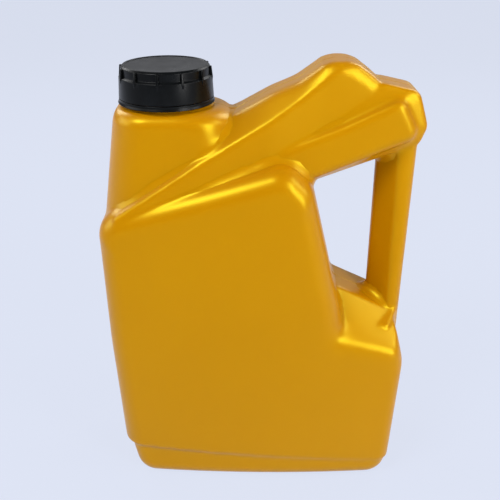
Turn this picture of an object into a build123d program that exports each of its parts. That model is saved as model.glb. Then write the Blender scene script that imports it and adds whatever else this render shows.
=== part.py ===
"""Yellow blow-moulded jerry bottle for oil, about four litres, with a hollow handle and a black screw cap.

Millimetres. +X points to the handle, +Y to the back and +Z up. The origin is the centre of the bottle's
length and depth, on the surface that it stands on. The mould parts on the plane Y = 0, and the back is a
mirror image of the front. Corners are (first, second, radius), each with its own rounding.
"""

import os
from math import cos, pi, radians, sin, tan

from build123d import *

# Shell
WALL = 1.1
CROWN_RADIUS = 1000.0

# Panel block, the tall left part of the body
BODY_HALF_DEPTH = 49.0
PANEL_EDGE = 15.0
PANEL_CORNER = 18.0
PANEL_LEFT = -109.3
PANEL_LEFT_TOP = 201.0
PANEL_LEFT_KNEE = (-107.2, 114.0)
PANEL_LEFT_BOTTOM = -100.4
PANEL_KNEE_ROUND = 400.0
PANEL_TOP_LEFT = (-98.5, 212.0)
PANEL_TOP_RIGHT = (15.0, 246.0)
PANEL_SIDE_TOP = (32.0, 228.5)
PANEL_SIDE_SLOPE = 13.4

# Lower block, which carries the ledge under the finger opening
LOWER_LEFT = 0.0
BODY_RIGHT = 100.0
BODY_RIGHT_TOP = 99.0
BODY_RIGHT_BOTTOM = 94.2
LEDGE_RIGHT = 93.0
LOWER_EDGE = 9.0
LOWER_CORNER = 12.0
LEDGE_X = 70.0
LEDGE_HEIGHT = 139.8
LEDGE_SLOPE = 25.6
LEDGE_FLAT_HALF = 18.0
LEDGE_FRONT_HEIGHT = 114.1
LEDGE_FRONT_SLOPE = 17.0
LEDGE_FRONT_HALF = 46.0

# Foot, stepped in under a sloping line
STEP_LEFT_HEIGHT = 29.0
STEP_SLOPE = 4.0
FOOT_LEFT = -91.5
FOOT_RIGHT = 93.0
FOOT_RIGHT_TOP = 94.0
FOOT_LEFT_DRAFT = 12.5
FOOT_TOP = 40.0
FOOT_HALF_DEPTH = 47.4
FOOT_CROWN_X = 10.0
FOOT_EDGE = 9.0
FOOT_CORNER = 15.0
RECESS_MARGIN = 22.0
RECESS_DEPTH = 3.0
RECESS_CORNER = 14.0

# Neck block under the cap
NECK_X = -63.3
BLOCK_TOP = 274.6
BLOCK_BOTTOM = 190.0
BLOCK_LEFT = -96.8
BLOCK_RIGHT = -20.0
BLOCK_HALF_DEPTH = 33.0
BLOCK_FLARE_LEFT = 12.0
BLOCK_FLARE_RIGHT = 3.0
BLOCK_FLARE_DEPTH = 2.0
BLOCK_LEFT_CORNER = 24.0
BLOCK_RIGHT_CORNER = 28.0
BLOCK_RIGHT_CORNER_BOTTOM = 10.0
BLOCK_EDGE = 8.0
BLOCK_EDGE_STEPS = 5
BLOCK_LEFT_SHOULDER = 3.0
BLOCK_FRONT_SHOULDER = 8.0
BLOCK_RIGHT_SHOULDER = 13.0

# Bar: the lower ridge, given by its outline at the flat middle and by its front outline
RIDGE_FLAT_HALF = 15.0
RIDGE_EDGE = 5.0
LOWER_RIDGE_MIDDLE = [
    (-97.0, 178.0, 3.0),
    (102.0, 251.0, 4.0),
    (106.5, 262.5, 6.0),
    (99.5, 285.5, 8.0),
    (75.0, 291.0, 10.0),
    (-97.0, 211.0, 3.0),
]
LOWER_RIDGE_FRONT = [
    (-97.0, 180.0, 7.0),
    (96.0, 254.5, 7.0),
    (100.0, 260.5, 7.0),
    (88.5, 283.5, 7.0),
    (50.0, 266.5, 14.0),
    (-97.0, 211.5, 7.0),
]
LOWER_RIDGE_TIP_DEPTH = 40.5
LOWER_RIDGE_END_DEPTH = 22.5
LOWER_RIDGE_LENGTH = 196.5

# Bar: the upper ridge, as stations along X: x, top half width, top, crest half width, crest, foot
UPPER_RIDGE_STATIONS = [
    (-97.0, 5.0, 213.0, 42.5, 209.5, 190.0),
    (-43.0, 15.0, 257.5, 38.5, 243.5, 215.0),
    (5.0, 15.0, 284.0, 29.5, 270.0, 235.0),
    (22.0, 15.0, 291.2, 25.0, 281.5, 245.0),
    (37.0, 15.5, 302.0, 21.6, 292.5, 252.0),
    (48.0, 16.0, 304.3, 19.6, 299.5, 256.0),
    (60.0, 15.0, 302.2, 17.8, 293.5, 260.0),
    (78.0, 13.0, 287.8, 15.5, 280.0, 265.0),
]
UPPER_RIDGE_STRAIGHT = 2
UPPER_RIDGE_TOP_ROUND = 4.0
UPPER_RIDGE_CREST_ROUND = 4.0
UPPER_RIDGE_FOOT_REACH = 1.5
UPPER_RIDGE_FOOT_ROUND = 1.0

# Post of the handle, given by its section at the foot and at the bar
POST_BOTTOM = 112.0
POST_TOP = 262.0
POST_HALF_DEPTH = 15.5
POST_FOOT_HALF_DEPTH = 18.0
POST_INNER = 73.0
POST_STRIP = 89.7
POST_OUTER_BOTTOM = 98.2
POST_OUTER_TOP = 101.8
POST_INNER_ROUND = 7.0
POST_STRIP_ROUND = 5.0
POST_OUTER_ROUND = 6.0
HEEL_LEFT = 87.5
HEEL_RIGHT = 97.0
HEEL_SPREAD = 8.0
HEEL_FRONT = 31.0
HEEL_TOP = 130.5
HEEL_SLOPE = 24.0
HEEL_FLOOR = 108.0

# Neck finish
NECK_OUTER = 25.4
NECK_BORE = 23.6
NECK_RIM = 296.9
NECK_RIM_CHAMFER = 0.4
BEAD_RADIUS = 28.8
BEAD_DROP = 19.0
BEAD_HEIGHT = 1.5
THREAD_PITCH = 6.0
THREAD_DEPTH = 2.0
THREAD_ROOT_WIDTH = 2.6
THREAD_CREST_WIDTH = 1.2
THREAD_TURNS = 1.5
THREAD_DROP = 12.9
THREAD_BITE = 0.3

# Closure
CLEARANCE = 0.4
CAP_PANEL = 2.2
CAP_BAND_HEIGHT = 6.0
CAP_SEAT_GAP = 1.0
CAP_SKIRT_TOP_RADIUS = 30.2
CAP_SKIRT_BOTTOM_RADIUS = 30.9
CAP_BAND_RADIUS = 28.7
CAP_DISC_RADIUS = 27.4
CAP_SHOULDER = 1.2
CAP_DISH_MARGIN = 1.6
CAP_DISH_DEPTH = 0.3
RIB_COUNT = 12
RIB_PHASE = -4.0
RIB_WIDTH = 1.5
RIB_REACH = 29.9
RIB_TOP_DROP = 1.0
RIB_KNEE_DROP = 2.0
RIB_FOOT_DROP = 6.3
RIB_RISE = 0.4
RING_DROP = 20.4
RING_HEIGHT = 3.0
RING_SLIT = 0.4
RING_RADIUS = 31.7
RING_WALL = 2.4
RING_HOOK = 1.0
RING_LIP = 0.8
LINER_THICKNESS = 1.2


def rounded_face(corners, plane):
    """Return the face inside a closed outline, with an arc at each of its corners."""
    points = [Vector(corner[0], corner[1]) for corner in corners]
    arcs = []
    for index, point in enumerate(points):
        radius = corners[index][2]
        back = (points[index - 1] - point).normalized()
        ahead = (points[(index + 1) % len(points)] - point).normalized()
        half_angle = radians(back.get_angle(ahead)) / 2
        reach = radius / tan(half_angle)
        centre = point + (back + ahead).normalized() * (radius / sin(half_angle))
        middle = centre + (point - centre).normalized() * radius
        start, end = point + back * reach, point + ahead * reach
        arcs.append([plane.from_local_coords(place) for place in (start, middle, end)])
    edges = []
    for index, (start, middle, end) in enumerate(arcs):
        edges.append(Edge.make_three_point_arc(start, middle, end))
        edges.append(Edge.make_line(end, arcs[(index + 1) % len(arcs)][0]))
    return Face(Wire(edges))


def shrunk(corners, gap):
    """Return an outline moved inwards by the gap, with the same count of corners."""
    count = len(corners)
    turns = zip(corners, corners[1:] + corners[:1])
    side = 1 if sum(a[0] * b[1] - b[0] * a[1] for a, b in turns) > 0 else -1
    moved = []
    for index, corner in enumerate(corners):
        before, after = corners[index - 1], corners[(index + 1) % count]
        arriving = Vector(corner[0] - before[0], corner[1] - before[1]).normalized()
        leaving = Vector(after[0] - corner[0], after[1] - corner[1]).normalized()
        normal_a = Vector(-arriving.Y, arriving.X) * side
        normal_b = Vector(-leaving.Y, leaving.X) * side
        point = Vector(corner[0], corner[1]) + (normal_a + normal_b) * (gap / (1 + normal_a.dot(normal_b)))
        convex = arriving.cross(leaving).Z * side > 0
        radius = corner[2] - gap if convex else corner[2] + gap
        moved.append((point.X, point.Y, radius))
    return moved


def crown(half_depth, centre_x):
    """Return the lens between the gently crowned front and back faces."""
    tall = 2 * BLOCK_TOP
    front = Cylinder(CROWN_RADIUS, tall).moved(Location((centre_x, CROWN_RADIUS - half_depth, 0)))
    back = Cylinder(CROWN_RADIUS, tall).moved(Location((centre_x, half_depth - CROWN_RADIUS, 0)))
    return front & back


def slab(corners, half_depth, edge, gap, centre_x=0.0, cutters=()):
    """Return a crowned slab of the outline, cut and then rounded round its front and back faces."""
    face = rounded_face(shrunk(corners, gap), Plane.XZ)
    solid = extrude(face, half_depth, both=True) & crown(half_depth - gap, centre_x)
    for cutter in cutters:
        solid -= cutter
    faces = solid.faces().sort_by(Axis.Y)
    return fillet(faces[0].edges() + faces[-1].edges(), edge - gap)


def panel_block(gap):
    """Return the tall block with the large flat panel and the sloping shoulder."""
    side_bottom = PANEL_SIDE_TOP[0] + PANEL_SIDE_TOP[1] * tan(radians(PANEL_SIDE_SLOPE))
    corners = [
        (PANEL_LEFT_BOTTOM, 0, PANEL_CORNER),
        (side_bottom, 0, PANEL_CORNER),
        (*PANEL_SIDE_TOP, PANEL_CORNER),
        (*PANEL_TOP_RIGHT, PANEL_CORNER),
        (*PANEL_TOP_LEFT, PANEL_CORNER),
        (PANEL_LEFT, PANEL_LEFT_TOP, PANEL_CORNER),
        (*PANEL_LEFT_KNEE, PANEL_KNEE_ROUND),
    ]
    return slab(corners, BODY_HALF_DEPTH, PANEL_EDGE, gap)


def step_line(x):
    """Return the height of the sloping line above the foot."""
    return STEP_LEFT_HEIGHT - (x - PANEL_LEFT) * tan(radians(STEP_SLOPE))


def ledge_line(x):
    """Return the height of the flat top of the ledge."""
    return LEDGE_HEIGHT - (x - LEDGE_X) * tan(radians(LEDGE_SLOPE))


def ledge_front_line(x):
    """Return the height of the ledge's front edge, which slopes less than its top."""
    return LEDGE_FRONT_HEIGHT - (x - LEDGE_X) * tan(radians(LEDGE_FRONT_SLOPE))


def prism_xz(points, y_low, y_high):
    """Return a prism of a plain outline in X and Z between two depths."""
    face = Face(Wire.make_polygon([Vector(x, y_low, z) for x, z in points], close=True))
    return Solid.extrude(face, Vector(0, y_high - y_low, 0))


def two_halves(front_half):
    """Return a front half joined to its mirror image at the back."""
    return front_half + mirror(front_half, about=Plane.XZ)


def lower_block(gap):
    """Return the low block under the finger opening, with its roof-like ledge."""
    corners = [
        (LOWER_LEFT, 0, LOWER_CORNER),
        (BODY_RIGHT_BOTTOM, 0, LOWER_CORNER),
        (BODY_RIGHT, BODY_RIGHT_TOP, LOWER_CORNER),
        (LEDGE_RIGHT, ledge_line(LEDGE_RIGHT), LOWER_CORNER),
        (LOWER_LEFT, ledge_line(LOWER_LEFT), LOWER_CORNER),
    ]
    lift = gap / cos(radians(LEDGE_SLOPE))
    width = LEDGE_FRONT_HALF - LEDGE_FLAT_HALF
    cutters = []
    for side in (-1, 1):
        profiles = []
        for x in (LOWER_LEFT, BODY_RIGHT + BODY_HALF_DEPTH):
            top = ledge_line(x) - lift
            fall = (ledge_line(x) - ledge_front_line(x)) * (width + BODY_HALF_DEPTH) / width
            near = side * (LEDGE_FLAT_HALF - gap / 2)
            far = side * (LEDGE_FRONT_HALF + BODY_HALF_DEPTH - gap / 2)
            wedge = [(near, top), (far, top - fall), (far, BLOCK_TOP), (near, BLOCK_TOP)]
            profiles.append(Face(Wire.make_polygon([Vector(x, y, z) for y, z in wedge], close=True)))
        cutters.append(loft(profiles, ruled=True))
    return slab(corners, BODY_HALF_DEPTH, LOWER_EDGE, gap, cutters=cutters)


def foot_block(gap):
    """Return the foot, whose front is turned a little so that the step fades out to the right."""
    left_top = FOOT_LEFT - FOOT_TOP * tan(radians(FOOT_LEFT_DRAFT))
    corners = [
        (FOOT_LEFT, 0, FOOT_CORNER),
        (FOOT_RIGHT, 0, FOOT_CORNER),
        (FOOT_RIGHT_TOP, FOOT_TOP, FOOT_CORNER),
        (left_top, FOOT_TOP, FOOT_CORNER),
    ]
    return slab(corners, FOOT_HALF_DEPTH, FOOT_EDGE, gap, centre_x=FOOT_CROWN_X)


def above_step(solid, gap):
    """Return the part of a solid that lies above the sloping line over the foot."""
    far = 2 * BODY_RIGHT
    points = [(-far, step_line(-far) + gap), (far, step_line(far) + gap), (far, -far), (-far, -far)]
    return solid - prism_xz(points, -far, far)


def flared(middle, front, flat_half, front_depth, front_turn, edge, gap):
    """Return a block with one outline over its flat middle and another at its front and back.

    The front plane stands at front_depth where X is 0 and comes nearer to the middle by front_turn per mm.
    Its rim is rounded in two narrow facets that touch an arc of the edge's radius.
    """
    stretch = (1 + front_turn**2) ** 0.5
    eased = edge * (1 - cos(pi / 4))
    faces = [rounded_face(shrunk(middle, gap), Plane.XZ.offset(flat_half))]
    for inwards, backwards in ((0, edge), (eased, eased), (edge, 0)):
        origin = (0, gap + backwards - front_depth, 0)
        leaning = Plane(origin=origin, x_dir=(1, front_turn, 0), z_dir=(front_turn, -1, 0))
        corners = [(x * stretch, z, radius) for x, z, radius in shrunk(front, gap + inwards)]
        faces.append(rounded_face(corners, leaning))
    half_slab = Solid.extrude(rounded_face(shrunk(middle, gap), Plane.XZ), Vector(0, -flat_half, 0))
    return two_halves(half_slab + loft(faces, ruled=True))


def lower_ridge(gap):
    """Return the lower ridge of the bar with its knuckle over the post."""
    turn = (LOWER_RIDGE_TIP_DEPTH - LOWER_RIDGE_END_DEPTH) / LOWER_RIDGE_LENGTH
    at_zero = LOWER_RIDGE_TIP_DEPTH + LOWER_RIDGE_MIDDLE[0][0] * turn
    return flared(LOWER_RIDGE_MIDDLE, LOWER_RIDGE_FRONT, RIDGE_FLAT_HALF, at_zero, turn, RIDGE_EDGE, gap)


def eased_stations():
    """Return the upper ridge's stations, with one more on a smooth curve in each span of its bump."""
    rows = UPPER_RIDGE_STATIONS
    slopes = []
    for index in range(len(rows)):
        before, after = rows[max(index - 1, 0)], rows[min(index + 1, len(rows) - 1)]
        slopes.append([(b - a) / (after[0] - before[0]) for a, b in zip(before, after)])
    eased = rows[:UPPER_RIDGE_STRAIGHT]
    for index in range(UPPER_RIDGE_STRAIGHT, len(rows)):
        eased.append(rows[index])
        if index + 1 < len(rows):
            span = rows[index + 1][0] - rows[index][0]
            ends = zip(rows[index], rows[index + 1], slopes[index], slopes[index + 1])
            eased.append([(a + b) / 2 + (rise_a - rise_b) * span / 8 for a, b, rise_a, rise_b in ends])
    return eased


def upper_ridge(gap):
    """Return the upper ridge of the bar, which fans out from the left tip and ends in a bump."""
    sections = []
    stations = eased_stations()
    for index, (x, top_half, top, crest_half, crest, foot) in enumerate(stations):
        end_gap = gap if index == 0 else -gap if index == len(stations) - 1 else 0
        corners = [
            (-crest_half - UPPER_RIDGE_FOOT_REACH, foot, gap + UPPER_RIDGE_FOOT_ROUND),
            (crest_half + UPPER_RIDGE_FOOT_REACH, foot, gap + UPPER_RIDGE_FOOT_ROUND),
            (crest_half, crest, UPPER_RIDGE_CREST_ROUND),
            (top_half, top, UPPER_RIDGE_TOP_ROUND),
            (-top_half, top, UPPER_RIDGE_TOP_ROUND),
            (-crest_half, crest, UPPER_RIDGE_CREST_ROUND),
        ]
        sections.append(rounded_face(shrunk(corners, gap), Plane.YZ.offset(x + end_gap)))
    return loft(sections, ruled=True)


def neck_block(gap):
    """Return the block that carries the neck: flared towards the body, with shoulders of three widths."""
    levels = [(BLOCK_BOTTOM, 0.0)]
    for step in range(BLOCK_EDGE_STEPS + 1):
        turn = step / BLOCK_EDGE_STEPS * pi / 2
        levels.append((BLOCK_TOP - BLOCK_EDGE * (1 - sin(turn)) - gap, 1 - cos(turn)))
    sections = []
    for height, drawn_in in levels:
        share = (BLOCK_TOP - height) / (BLOCK_TOP - BLOCK_BOTTOM)
        left = BLOCK_LEFT - BLOCK_FLARE_LEFT * share + BLOCK_LEFT_SHOULDER * drawn_in
        right = BLOCK_RIGHT + BLOCK_FLARE_RIGHT * share - BLOCK_RIGHT_SHOULDER * drawn_in
        half = BLOCK_HALF_DEPTH + BLOCK_FLARE_DEPTH * share - BLOCK_FRONT_SHOULDER * drawn_in
        left_corner = BLOCK_LEFT_CORNER - BLOCK_LEFT_SHOULDER * drawn_in
        right_corner = BLOCK_RIGHT_CORNER + (BLOCK_RIGHT_CORNER_BOTTOM - BLOCK_RIGHT_CORNER) * share
        right_corner -= BLOCK_FRONT_SHOULDER * drawn_in
        corners = [
            (left, -half, left_corner),
            (right, -half, right_corner),
            (right, half, right_corner),
            (left, half, left_corner),
        ]
        sections.append(rounded_face(shrunk(corners, gap), Plane.XY.offset(height)))
    return loft(sections, ruled=True)


def post(gap):
    """Return the post of the handle, ridged towards the finger opening."""
    sections = []
    levels = [(POST_BOTTOM, POST_OUTER_BOTTOM, POST_FOOT_HALF_DEPTH)]
    levels.append((POST_TOP, POST_OUTER_TOP, POST_HALF_DEPTH))
    for height, outer, half in levels:
        corners = [
            (POST_INNER, 0, POST_INNER_ROUND),
            (POST_STRIP, -half, POST_STRIP_ROUND),
            (outer, -half, POST_OUTER_ROUND),
            (outer, half, POST_OUTER_ROUND),
            (POST_STRIP, half, POST_STRIP_ROUND),
        ]
        sections.append(rounded_face(shrunk(corners, gap), Plane.XY.offset(height)))
    return loft(sections, ruled=True)


def heel(gap):
    """Return the low wedge at the post's foot, whose sloping top eases the post's front into the ledge."""
    front, back = gap - HEEL_FRONT, -POST_HALF_DEPTH
    left, right = HEEL_LEFT + gap, HEEL_RIGHT - gap
    plan = [(left, 0), (right, 0), (right, back)]
    plan += [(right - HEEL_SPREAD, front), (left - HEEL_SPREAD, front), (left, back)]
    top = HEEL_TOP - gap / cos(radians(HEEL_SLOPE))
    fall = (back - front) * tan(radians(HEEL_SLOPE))
    side = [(0, HEEL_FLOOR), (front, HEEL_FLOOR), (front, top - fall), (back, top), (0, top)]
    column = Face(Wire.make_polygon([Vector(x, y, HEEL_FLOOR) for x, y in plan], close=True))
    bar = Face(Wire.make_polygon([Vector(0, y, z) for y, z in side], close=True))
    tall = Solid.extrude(column, Vector(0, 0, POST_TOP - HEEL_FLOOR))
    return two_halves(tall & Solid.extrude(bar, Vector(BODY_RIGHT, 0, 0)))


def base_recess(gap):
    """Return the shallow hollow under the foot, which leaves a flat ring to stand on."""
    left, right = FOOT_LEFT + RECESS_MARGIN, FOOT_RIGHT - RECESS_MARGIN
    half = FOOT_HALF_DEPTH - RECESS_MARGIN
    corners = [
        (left, -half, RECESS_CORNER),
        (right, -half, RECESS_CORNER),
        (right, half, RECESS_CORNER),
        (left, half, RECESS_CORNER),
    ]
    slant = gap * 2**0.5
    mouth = rounded_face(shrunk(corners, -slant), Plane.XY)
    roof = rounded_face(shrunk(corners, RECESS_DEPTH + gap - slant), Plane.XY.offset(RECESS_DEPTH + gap))
    return loft([mouth, roof], ruled=True)


def bottle_form(gap):
    """Return the bottle's form without its neck, moved inwards by the gap."""
    form = above_step(panel_block(gap) + lower_block(gap), gap)
    for block in (foot_block, neck_block, lower_ridge, upper_ridge, post, heel):
        form += block(gap)
    return form - base_recess(gap)


def turned(outline):
    """Return the solid that an outline of radii and heights makes round the neck's axis."""
    face = Face(Wire.make_polygon([Vector(radius, 0, z) for radius, z in outline], close=True))
    return revolve(face, Axis.Z).moved(Location((NECK_X, 0, 0)))


def thread(root_radius, crest_radius, start):
    """Return a right-hand screw thread that rises from the start height, rooted a little into its wall."""
    outwards = 1 if crest_radius > root_radius else -1
    buried = root_radius - outwards * THREAD_BITE
    root, crest = THREAD_ROOT_WIDTH / 2, THREAD_CREST_WIDTH / 2
    outline = [(buried, -root), (root_radius, -root), (crest_radius, -crest)]
    outline += [(radius, -z) for radius, z in reversed(outline)]
    profile = Face(Wire.make_polygon([Vector(radius, 0, z) for radius, z in outline], close=True))
    path = Helix(THREAD_PITCH, THREAD_TURNS * THREAD_PITCH, root_radius)
    return sweep(profile, path=path, is_frenet=True).moved(Location((NECK_X, 0, start)))


def neck_outside():
    """Return the neck as a plug: a tube's outside with its retaining bead and its thread."""
    bead_top = bead_bottom + BEAD_HEIGHT
    outline = [
        (0, BLOCK_TOP - BLOCK_EDGE),
        (NECK_OUTER, BLOCK_TOP - BLOCK_EDGE),
        (NECK_OUTER, bead_bottom),
        (BEAD_RADIUS, bead_bottom),
        (BEAD_RADIUS, bead_bottom + BEAD_HEIGHT / 2),
        (NECK_OUTER, bead_top + BEAD_HEIGHT / 2),
        (NECK_OUTER, NECK_RIM - NECK_RIM_CHAMFER),
        (NECK_OUTER - NECK_RIM_CHAMFER, NECK_RIM),
        (0, NECK_RIM),
    ]
    return turned(outline) + thread(NECK_OUTER, NECK_OUTER + THREAD_DEPTH, thread_start)


def neck_bore():
    """Return the bore through the neck, down into the hollow of the bottle."""
    bottom = BLOCK_TOP - 2 * BLOCK_EDGE
    return turned([(0, bottom), (NECK_BORE, bottom), (NECK_BORE, NECK_RIM), (0, NECK_RIM)])


def make_bottle():
    """Return the blown bottle with its hollow handle, as one shell."""
    outside = bottle_form(0) + neck_outside()
    return outside - (bottle_form(WALL) + neck_bore())


def skirt_radius(z):
    """Return the outer radius of the cap's tapered skirt at a height."""
    share = (z - skirt_bottom) / (band_bottom - skirt_bottom)
    return CAP_SKIRT_BOTTOM_RADIUS + (CAP_SKIRT_TOP_RADIUS - CAP_SKIRT_BOTTOM_RADIUS) * share


def cap_rib():
    """Return one of the thin upright ribs that cross the cap's recessed band and fade into its skirt."""
    inner = (cap_bore + CAP_BAND_RADIUS) / 2
    knee = band_bottom - RIB_KNEE_DROP
    outline = [
        (inner, cap_top - RIB_TOP_DROP),
        (RIB_REACH, cap_top - RIB_TOP_DROP),
        (skirt_radius(knee) + RIB_RISE, knee),
        (skirt_radius(band_bottom - RIB_FOOT_DROP) - RIB_RISE, band_bottom - RIB_FOOT_DROP),
        (inner, band_bottom - RIB_FOOT_DROP),
    ]
    points = [Vector(radius, -RIB_WIDTH / 2, z) for radius, z in outline]
    return Solid.extrude(Face(Wire.make_polygon(points, close=True)), Vector(0, RIB_WIDTH, 0))


def make_cap():
    """Return the screw cap with its recessed band, ribs, dished top and inner thread."""
    outline = [
        (cap_bore, skirt_bottom),
        (CAP_SKIRT_BOTTOM_RADIUS, skirt_bottom),
        (CAP_SKIRT_TOP_RADIUS, band_bottom - CAP_SHOULDER),
        (CAP_BAND_RADIUS, band_bottom),
        (CAP_BAND_RADIUS, cap_top - CAP_SHOULDER),
        (CAP_DISC_RADIUS, cap_top),
        (CAP_DISC_RADIUS - CAP_DISH_MARGIN, cap_top),
        (CAP_DISC_RADIUS - CAP_DISH_MARGIN - CAP_DISH_DEPTH, cap_top - CAP_DISH_DEPTH),
        (0, cap_top - CAP_DISH_DEPTH),
        (0, NECK_RIM + LINER_THICKNESS),
        (cap_seat, NECK_RIM + LINER_THICKNESS),
        (cap_seat, thread_top + THREAD_DEPTH),
        (cap_bore, thread_top),
    ]
    cap = turned(outline)
    for index in range(RIB_COUNT):
        turn = RIB_PHASE + index * 360 / RIB_COUNT
        cap += cap_rib().moved(Location((NECK_X, 0, 0), (0, 0, turn)))
    return cap + thread(cap_bore, cap_bore - THREAD_DEPTH, thread_start - thread_shift)


def make_ring():
    """Return the tamper ring left on the neck, hooked under the bead."""
    bore = RING_RADIUS - RING_WALL
    hook_top = bead_bottom - RING_SLIT
    top = ring_bottom + RING_HEIGHT
    outline = [
        (bore - RING_HOOK, ring_bottom),
        (RING_RADIUS, ring_bottom),
        (RING_RADIUS, ring_bottom + RING_LIP),
        (CAP_SKIRT_BOTTOM_RADIUS, ring_bottom + 2 * RING_LIP),
        (CAP_SKIRT_BOTTOM_RADIUS, top),
        (bore, top),
        (bore, hook_top),
        (bore - RING_HOOK, hook_top),
    ]
    return turned(outline)


def make_liner():
    """Return the sealing disc that the cap presses on the neck's rim."""
    radius = cap_seat - CLEARANCE
    top = NECK_RIM + LINER_THICKNESS
    return turned([(0, NECK_RIM), (radius, NECK_RIM), (radius, top), (0, top)])


bead_bottom = NECK_RIM - BEAD_DROP
thread_start = NECK_RIM - THREAD_DROP
ring_bottom = NECK_RIM - RING_DROP
cap_top = NECK_RIM + LINER_THICKNESS + CAP_PANEL
band_bottom = cap_top - CAP_BAND_HEIGHT
skirt_bottom = ring_bottom + RING_HEIGHT + RING_SLIT
cap_bore = NECK_OUTER + THREAD_DEPTH + CLEARANCE
cap_seat = NECK_OUTER + CAP_SEAT_GAP
thread_top = thread_start + THREAD_TURNS * THREAD_PITCH + THREAD_ROOT_WIDTH / 2
flank_slope = (THREAD_ROOT_WIDTH - THREAD_CREST_WIDTH) / 2 / THREAD_DEPTH
thread_shift = THREAD_ROOT_WIDTH - (THREAD_DEPTH + CLEARANCE) * flank_slope + CLEARANCE

if __name__ == "__main__":
    os.makedirs("parts", exist_ok=True)
    bottle = make_bottle()
    centre_x = bottle.bounding_box().center().X
    nodes = {
        "bottle": bottle,
        "screw_cap": make_cap(),
        "tamper_ring": make_ring(),
        "sealing_liner": make_liner(),
    }
    for name, shape in nodes.items():
        export_step(shape.moved(Location((-centre_x, 0, 0))), f"parts/{name}.step")
    print(f"neck axis at X = {NECK_X - centre_x:.4f} mm, screw pitch {THREAD_PITCH} mm")
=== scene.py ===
"""The looks of a yellow blow-moulded oil bottle with a hollow handle and a black screw cap.

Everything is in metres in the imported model's frame: +X points to the handle, +Y to the back and +Z up. The
mould parts on the plane Y = 0. The bottle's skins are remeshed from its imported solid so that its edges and
valleys blend as blown plastic does. The neck and closure are turned anew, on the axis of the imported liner.
"""

import logging
import math
from collections.abc import Sequence
from dataclasses import dataclass
from enum import Enum
from typing import Any

import bmesh
import bpy
import numpy as np
from mathutils import Matrix, Vector


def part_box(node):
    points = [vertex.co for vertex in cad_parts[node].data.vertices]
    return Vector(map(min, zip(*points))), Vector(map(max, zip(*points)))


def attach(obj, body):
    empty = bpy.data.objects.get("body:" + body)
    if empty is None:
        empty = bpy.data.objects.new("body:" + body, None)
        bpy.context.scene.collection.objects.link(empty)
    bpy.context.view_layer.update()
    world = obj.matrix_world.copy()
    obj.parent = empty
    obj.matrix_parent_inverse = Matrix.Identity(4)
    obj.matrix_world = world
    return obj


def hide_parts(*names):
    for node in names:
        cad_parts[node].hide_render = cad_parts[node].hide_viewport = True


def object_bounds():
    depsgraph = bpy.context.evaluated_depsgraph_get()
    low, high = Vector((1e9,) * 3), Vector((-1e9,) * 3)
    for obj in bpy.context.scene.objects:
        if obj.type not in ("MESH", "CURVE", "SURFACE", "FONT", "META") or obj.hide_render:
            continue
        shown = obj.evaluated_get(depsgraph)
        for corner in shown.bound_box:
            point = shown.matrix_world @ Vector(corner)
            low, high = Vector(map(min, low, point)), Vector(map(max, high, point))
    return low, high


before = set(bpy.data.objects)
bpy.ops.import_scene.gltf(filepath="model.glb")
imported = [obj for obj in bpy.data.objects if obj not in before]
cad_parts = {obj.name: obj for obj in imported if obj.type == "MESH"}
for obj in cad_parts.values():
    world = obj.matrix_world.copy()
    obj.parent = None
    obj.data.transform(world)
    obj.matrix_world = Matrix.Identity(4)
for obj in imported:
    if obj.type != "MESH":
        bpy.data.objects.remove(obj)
cad_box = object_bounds()

MM = 0.001
TAU = 2 * math.pi
# Vertices of a new form that are closer than this become one.
ONE_PLACE = 1e-6
# A vertex that is nearer than this to the plane of a cut lies on it.
ON_PLANE = 1e-7
log = logging.getLogger("oil_bottle")

Profile = list[tuple[float, float]]
Colour = tuple[float, float, float, float]


class Body(Enum):
    """The bodies that pieces ride on."""

    BOTTLE = "bottle"
    LINER = "liner"
    CAP = "cap"


class Slot(Enum):
    """The material slots, by name."""

    SHELL = "yellow_shell"
    CLOSURE = "black_closure"
    LINER = "white_liner"


class Ray(Enum):
    """The kinds of ray that a shader can tell apart."""

    CAMERA = "Is Camera Ray"
    GLOSSY = "Is Glossy Ray"
    TRANSMISSION = "Is Transmission Ray"


def srgb(red: int, green: int, blue: int) -> Colour:
    """Return a colour's linear values.

    Args:
        red: The red share as a screen shows it, from 0 to 255.
        green: The green share.
        blue: The blue share.

    Returns:
        The linear red, green and blue with an alpha of one.
    """

    def linear(value: int) -> float:
        """Return one linear share."""
        share = value / 255
        return share / 12.92 if share <= 0.04045 else ((share + 0.055) / 1.055) ** 2.4

    return linear(red), linear(green), linear(blue), 1.0


class Graph:
    """A node tree, and the one method that adds nodes to it."""

    def __init__(self, tree: bpy.types.NodeTree) -> None:
        """Keep the tree."""
        self.tree = tree

    def node(
        self, kind: str, settings: dict[str, Any] | None = None, inputs: dict[Any, Any] | None = None
    ) -> Any:
        """Add one node.

        Args:
            kind: The node's type.
            settings: Its properties, set before its sockets.
            inputs: Numbers, sockets or Values for its sockets, by name or number.

        Returns:
            The node.
        """
        node = self.tree.nodes.new(kind)
        for name, setting in (settings or {}).items():
            setattr(node, name, setting)
        for name, value in (inputs or {}).items():
            self.feed(node.inputs[name], value)
        return node

    def feed(self, socket: Any, value: Any) -> None:
        """Set a socket to a value, or link it to another socket.

        Args:
            socket: The input socket.
            value: A plain value, a socket or a Value.
        """
        if isinstance(value, Value):
            value = value.socket
        if isinstance(value, bpy.types.NodeSocket):
            self.tree.links.new(value, socket)
        else:
            socket.default_value = value

    def ray_is(self, *kinds: Ray) -> "Value":
        """Ask what kind of ray meets the surface.

        Args:
            kinds: The kinds to look for.

        Returns:
            How many of them the ray is of.
        """
        path = self.node("ShaderNodeLightPath").outputs
        flags = [Value(self, path[kind.value]) for kind in kinds]
        return sum(flags[1:], flags[0])


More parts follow.
